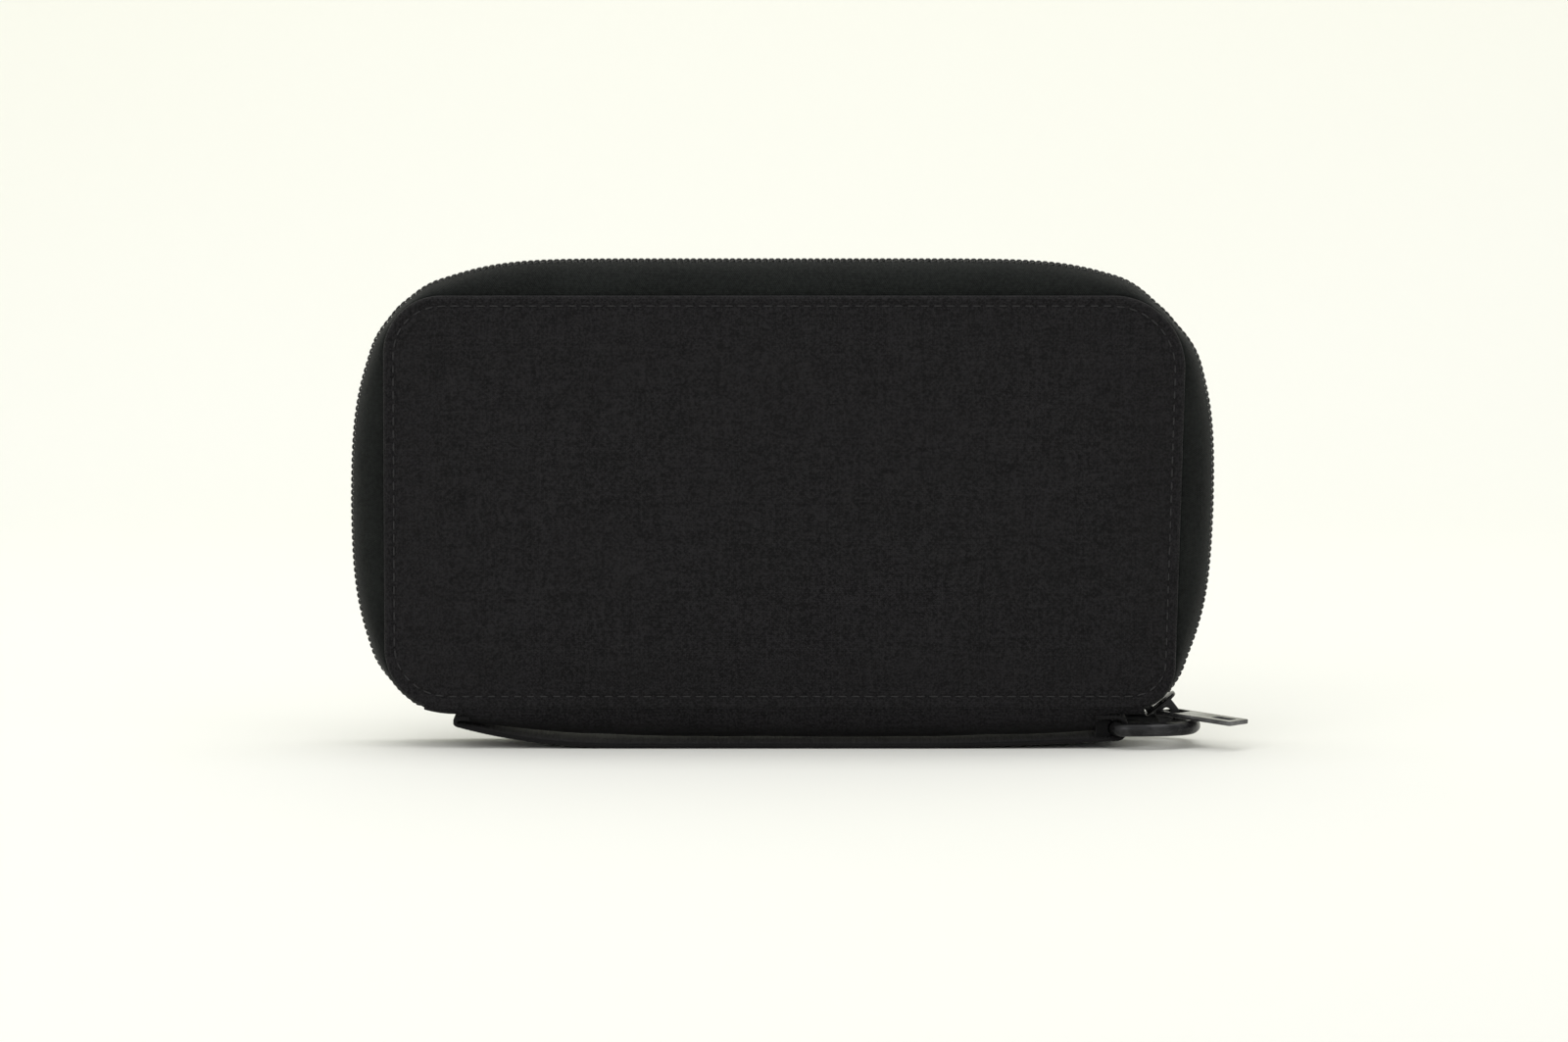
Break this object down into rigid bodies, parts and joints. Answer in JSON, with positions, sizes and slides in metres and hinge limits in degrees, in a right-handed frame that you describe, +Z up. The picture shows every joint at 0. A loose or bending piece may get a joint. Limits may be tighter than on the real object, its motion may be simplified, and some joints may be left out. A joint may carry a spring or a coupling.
{
  "type": "travel document organizer",
  "caption": "Zip-around travel document organizer in woven nylon, standing on its spine, with hinged covers, coil zip, slider and pull, webbing carry strap and D-ring.",
  "frame": {"origin": "on the surface the organizer stands on, under the middle of the carry strap's flat stretch", "axes": "+Z up; +X to the right along the spine, towards the slider and ring; +Y away from the front cover"},
  "size_m": [0.2465, 0.0357, 0.1341],
  "materials": {
    "shell_nylon": "fine plain-weave black nylon",
    "lining_nylon": "smooth dark grey lining nylon",
    "board": "stiffener board",
    "zip_tape": "woven black zip tape",
    "zip_coil": "satin black nylon coil",
    "webbing": "ribbed black nylon webbing",
    "black_metal": "satin black plated metal",
    "elastic": "black elastic"
  },
  "bodies": {
    "spine": {"spine_panel": "shell_nylon", "spine_board": "board", "spine_lining": "lining_nylon", "carry_strap": "webbing", "zip_bottom_stop": "black_metal"},
    "front_cover": {"front_panel": "shell_nylon", "front_board": "board", "front_lining": "lining_nylon", "front_zip_tape": "zip_tape", "front_zip_coil": "zip_coil", "ticket_pocket": "lining_nylon", "boarding_pass_pocket": "lining_nylon", "pen_loop": "elastic"},
    "back_cover": {"back_panel": "shell_nylon", "back_board": "board", "back_lining": "lining_nylon", "back_zip_tape": "zip_tape", "back_zip_coil": "zip_coil", "passport_pocket": "lining_nylon", "card_pocket_1": "lining_nylon", "card_pocket_2": "lining_nylon", "card_pocket_3": "lining_nylon"},
    "slider": {"zip_slider": "black_metal"},
    "pull": {"pull_tab": "black_metal"},
    "ring": {"d_ring": "black_metal"}
  },
  "joints": [
    {"name": "front_cover_hinge", "type": "hinge", "parent": "spine", "child": "front_cover", "pos_m": [0, -0.0122, 0.01015], "axis": [1, 0, 0], "range_deg": [0, 90]},
    {"name": "back_cover_hinge", "type": "hinge", "parent": "spine", "child": "back_cover", "pos_m": [0, 0.0122, 0.01015], "axis": [-1, 0, 0], "range_deg": [0, 90]},
    {"name": "slider_run", "type": "slide", "parent": "spine", "child": "slider", "axis": [0.5592, 0, 0.829], "range_m": [0, 0.006]},
    {"name": "pull_pivot", "type": "hinge", "parent": "slider", "child": "pull", "pos_m": [0.10602, 0, 0.00892], "axis": [-0.6428, -0.766, 0], "range_deg": [0, 30]},
    {"name": "ring_pivot", "type": "hinge", "parent": "spine", "child": "ring", "pos_m": [0.0915, 0, 0.0055], "axis": [0, 1, 0], "range_deg": [0, 75]}
  ]
}
